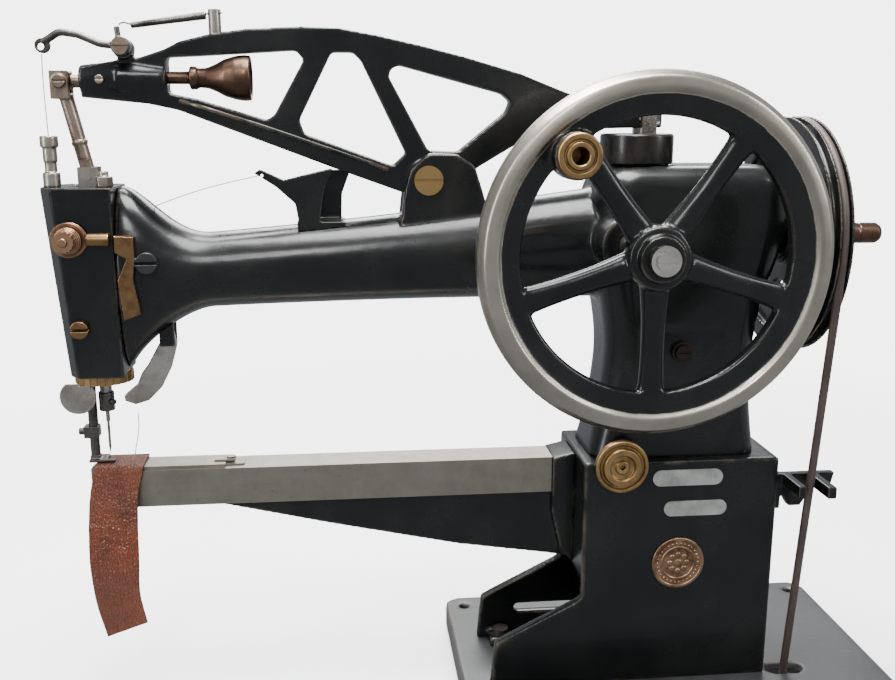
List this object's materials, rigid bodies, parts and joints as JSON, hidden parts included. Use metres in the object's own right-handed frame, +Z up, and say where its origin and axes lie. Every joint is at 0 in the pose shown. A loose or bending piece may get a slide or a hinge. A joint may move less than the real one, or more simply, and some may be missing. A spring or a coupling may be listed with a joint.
{
  "type": "leather sewing machine",
  "caption": "Cobbler's patching machine with a slim lower arm, turning presser, openwork needle lever, front flywheel and end belt pulley.",
  "frame": {"origin": "underside of the base plate, below the column", "axes": "+X towards the belt pulley, -Y towards the flywheel side, +Z up"},
  "size_m": [0.583, 0.2282, 0.486],
  "materials": {
    "black_enamel": "gloss black enamel over cast iron, worn at the edges",
    "dark_plate": "worn dark cast iron",
    "steel": "worn bright steel",
    "nickel": "worn nickel plate",
    "brass": "aged brass",
    "aged_bronze": "dark brown bronze patina",
    "plate_alloy": "scratched alloy",
    "copper_badge": "worn copper",
    "strap_leather": "chestnut leather, semi-gloss, creased",
    "belt_leather": "dark brown leather",
    "thread": "waxed thread"
  },
  "bodies": {
    "root": {"base_plate": "dark_plate", "base_block": "black_enamel", "base_bolts": "steel", "upper_name_plate": "plate_alloy", "lower_name_plate": "plate_alloy", "round_badge": "copper_badge", "bearing_disc": "brass", "belt_guide": "black_enamel", "lower_arm": "black_enamel", "arm_tube": "steel", "needle_plate": "steel", "arm_casting": "black_enamel", "top_cap": "black_enamel", "oil_plug": "aged_bronze", "thread_guide": "black_enamel", "drive_belt": "belt_leather", "belt_hooks": "steel", "lever_pin": "brass", "head_casting": "black_enamel", "lifter_bracket": "black_enamel", "thread_tension": "steel", "head_trim": "brass", "leather_strap": "strap_leather", "take_up_thread": "thread", "guide_thread": "thread", "tail_thread": "thread"},
    "flywheel": {"flywheel": "black_enamel", "handle_bush": "brass", "hub_bolt": "steel", "cross_shaft": "steel", "wheel_gear": "steel"},
    "pulley": {"pulley": "black_enamel", "main_shaft": "steel", "shaft_peg": "aged_bronze", "pulley_gear": "steel", "stroke_cam": "steel"},
    "needle_lever": {"needle_lever": "black_enamel", "rod_eye": "steel", "spring_post": "steel", "take_up_spring": "steel"},
    "stroke_knob": {"stroke_knob": "aged_bronze"},
    "cam_rod": {"cam_rod": "steel"},
    "take_up": {"take_up_lever": "steel", "take_up_screw": "steel"},
    "needle_link": {"needle_link": "steel"},
    "needle_bar": {"needle_bar": "steel", "needle_clamp": "steel", "needle": "steel"},
    "turning_sleeve": {"turning_sleeve": "steel", "turning_ring": "brass", "ring_wing": "nickel"},
    "presser": {"presser_bar": "steel", "presser_foot": "steel"},
    "presser_lifter": {"presser_lifter": "nickel"},
    "tension_nut": {"tension_nut": "brass"},
    "shuttle": {"shuttle": "steel", "bobbin": "steel", "shuttle_pinion": "steel"},
    "shuttle_rack": {"shuttle_rack": "steel"},
    "slide_plate": {"slide_plate": "steel"}
  },
  "joints": [
    {"name": "flywheel_spin", "type": "hinge", "parent": "root", "child": "flywheel", "pos_m": [-0.035, -0.1, 0.338], "axis": [0, 1, 0], "continuous": true},
    {"name": "pulley_spin", "type": "hinge", "parent": "root", "child": "pulley", "pos_m": [0.095, 0, 0.338], "axis": [1, 0, 0], "continuous": true},
    {"name": "needle_lever_rock", "type": "hinge", "parent": "root", "child": "needle_lever", "pos_m": [-0.162, 0, 0.378], "axis": [0, 1, 0], "range_deg": [-6, 1], "deforming": ["take_up_thread"]},
    {"name": "stroke_knob_turn", "type": "hinge", "parent": "needle_lever", "child": "stroke_knob", "pos_m": [-0.3, 0, 0.4435], "axis": [1, 0, 0], "continuous": true},
    {"name": "cam_rod_slide", "type": "slide", "parent": "root", "child": "cam_rod", "axis": [0, 0, 1], "range_m": [-0.003, 0.0162]},
    {"name": "take_up_rock", "type": "hinge", "parent": "needle_lever", "child": "take_up", "pos_m": [-0.355, -0.013, 0.462], "axis": [0, 1, 0], "range_deg": [-2, 8]},
    {"name": "needle_bar_slide", "type": "slide", "parent": "root", "child": "needle_bar", "axis": [0, 0, 1], "range_m": [-0.024, 0.0042]},
    {"name": "link_swing", "type": "hinge", "parent": "needle_bar", "child": "needle_link", "pos_m": [-0.383, 0, 0.381], "axis": [0, 1, 0], "range_deg": [-5.5, 1.2]},
    {"name": "head_turn", "type": "hinge", "parent": "root", "child": "turning_sleeve", "pos_m": [-0.383, 0, 0.25], "axis": [0, 0, 1], "range_deg": [-150, 90]},
    {"name": "presser_lift", "type": "slide", "parent": "turning_sleeve", "child": "presser", "axis": [0, 0, 1], "range_m": [0, 0.008]},
    {"name": "lifter_swing", "type": "hinge", "parent": "root", "child": "presser_lifter", "pos_m": [-0.3398, 0, 0.271], "axis": [0, 1, 0], "range_deg": [-22.2, 0]},
    {"name": "tension_nut_turn", "type": "hinge", "parent": "root", "child": "tension_nut", "pos_m": [-0.392, -0.04, 0.3425], "axis": [0, 1, 0], "continuous": true},
    {"name": "shuttle_turn", "type": "hinge", "parent": "root", "child": "shuttle", "pos_m": [-0.369, 0, 0.165], "axis": [0, 0, 1], "range_deg": [-61, 61]},
    {"name": "rack_slide", "type": "slide", "parent": "root", "child": "shuttle_rack", "axis": [1, 0, 0], "range_m": [-0.0057, 0.0057]},
    {"name": "slide_plate_draw", "type": "slide", "parent": "root", "child": "slide_plate", "axis": [1, 0, 0], "range_m": [0, 0.03]}
  ],
  "couplings": [
    {"joint": "pulley_spin", "follows": "flywheel_spin", "ratio": 1},
    {"joint": "cam_rod_slide", "follows": "needle_lever_rock", "m_per_rad": -0.15},
    {"joint": "needle_bar_slide", "follows": "needle_lever_rock", "m_per_rad": 0.2235},
    {"joint": "link_swing", "follows": "needle_lever_rock", "ratio": 0.853},
    {"joint": "take_up_rock", "follows": "needle_lever_rock", "ratio": -1.2},
    {"joint": "lifter_swing", "follows": "presser_lift", "rad_per_m": -48},
    {"joint": "shuttle_turn", "follows": "rack_slide", "rad_per_m": -185.19}
  ]
}
